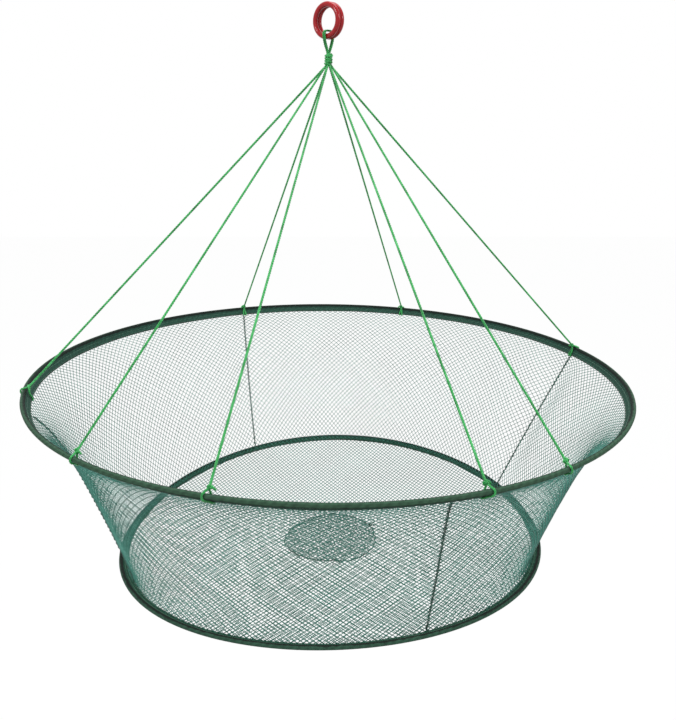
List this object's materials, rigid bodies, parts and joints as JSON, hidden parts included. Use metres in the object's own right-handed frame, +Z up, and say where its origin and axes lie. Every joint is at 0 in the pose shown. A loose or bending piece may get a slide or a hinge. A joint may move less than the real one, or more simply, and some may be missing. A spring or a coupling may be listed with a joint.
{
  "type": "lift net",
  "caption": "Round folding lift net: two wire hoops bound in tape, netting wall and sagging floor with a bait pocket, hung by cords from a knot and lift rings.",
  "frame": {"origin": "the point the net is held at: the inner top of the two lift rings, midway between them", "axes": "+Z up as the net hangs, +Y away from the picture's camera, +X to the picture's right"},
  "size_m": [0.8152, 0.8056, 0.7472],
  "materials": {
    "glossy_red_plastic": "glossy moulded plastic",
    "twisted_green_cord": "bright green twisted cord",
    "dark_green_cord": "dark green twisted cord",
    "woven_green_tape": "woven tape, stitched, satin",
    "green_netting": "fine square-mesh netting",
    "spring_steel_wire": "drawn spring steel"
  },
  "bodies": {
    "held_ring": {"lift_ring_a": "glossy_red_plastic"},
    "second_ring": {"lift_ring_b": "glossy_red_plastic"},
    "hanger": {"hanger_loop": "twisted_green_cord"},
    "bridle": {"gather_knot": "twisted_green_cord", "bridle_leg_1": "twisted_green_cord", "bridle_leg_2": "twisted_green_cord", "bridle_leg_3": "twisted_green_cord", "bridle_leg_4": "twisted_green_cord", "bridle_leg_5": "twisted_green_cord", "bridle_leg_6": "twisted_green_cord", "bridle_leg_7": "twisted_green_cord", "bridle_leg_8": "twisted_green_cord"},
    "mouth_hoop": {"top_hoop_wire": "spring_steel_wire", "top_hoop_ferrule": "spring_steel_wire", "top_binding": "woven_green_tape", "rim_tie_1": "twisted_green_cord", "rim_tie_2": "twisted_green_cord", "rim_tie_3": "twisted_green_cord", "rim_tie_4": "twisted_green_cord", "rim_tie_5": "twisted_green_cord", "rim_tie_6": "twisted_green_cord", "rim_tie_7": "twisted_green_cord", "rim_tie_8": "twisted_green_cord", "wall_panel_1_upper": "green_netting", "wall_panel_2_upper": "green_netting", "wall_panel_3_upper": "green_netting", "wall_panel_4_upper": "green_netting", "wall_seam_1": "dark_green_cord", "wall_seam_2": "dark_green_cord", "wall_seam_3": "dark_green_cord", "wall_seam_4": "dark_green_cord"},
    "wall_middle": {"wall_panel_1_middle": "green_netting", "wall_panel_2_middle": "green_netting", "wall_panel_3_middle": "green_netting", "wall_panel_4_middle": "green_netting"},
    "wall_lower": {"wall_panel_1_lower": "green_netting", "wall_panel_2_lower": "green_netting", "wall_panel_3_lower": "green_netting", "wall_panel_4_lower": "green_netting"},
    "floor_hoop": {"bottom_hoop_wire": "spring_steel_wire", "bottom_hoop_ferrule": "spring_steel_wire", "bottom_binding": "woven_green_tape", "floor_netting": "green_netting", "bait_pocket": "green_netting", "pocket_drawcord": "dark_green_cord"}
  },
  "joints": [
    {"name": "second_ring_swing", "type": "hinge", "parent": "held_ring", "child": "second_ring", "pos_m": [0, 0, 0], "axis": [0.6428, 0.766, 0], "range_deg": [-12, 12]},
    {"name": "loop_swing", "type": "hinge", "parent": "held_ring", "child": "hanger", "pos_m": [0, 0, -0.03345], "axis": [0.766, -0.6428, 0], "range_deg": [-25, 25]},
    {"name": "bridle_swing", "type": "hinge", "parent": "hanger", "child": "bridle", "pos_m": [0, 0, -0.0573], "axis": [0.6428, 0.766, 0], "range_deg": [-25, 25]},
    {"name": "bridle_slack", "type": "slide", "parent": "bridle", "child": "mouth_hoop", "axis": [0, 0, 1], "range_m": [0, 0.36], "deforming": ["bridle_leg_1", "bridle_leg_2", "bridle_leg_3", "bridle_leg_4", "bridle_leg_5", "bridle_leg_6", "bridle_leg_7", "bridle_leg_8"]},
    {"name": "basket_fold", "type": "slide", "parent": "mouth_hoop", "child": "floor_hoop", "axis": [0, 0, 1], "range_m": [0, 0.228], "deforming": ["wall_seam_1", "wall_seam_2", "wall_seam_3", "wall_seam_4"]},
    {"name": "wall_middle_fold", "type": "slide", "parent": "mouth_hoop", "child": "wall_middle", "axis": [0, 0, 1], "range_m": [0, 0.0761]},
    {"name": "wall_lower_fold", "type": "slide", "parent": "mouth_hoop", "child": "wall_lower", "axis": [0, 0, 1], "range_m": [0, 0.1521]}
  ],
  "couplings": [
    {"joint": "wall_middle_fold", "follows": "basket_fold", "ratio": 0.33333},
    {"joint": "wall_lower_fold", "follows": "basket_fold", "ratio": 0.66667}
  ]
}
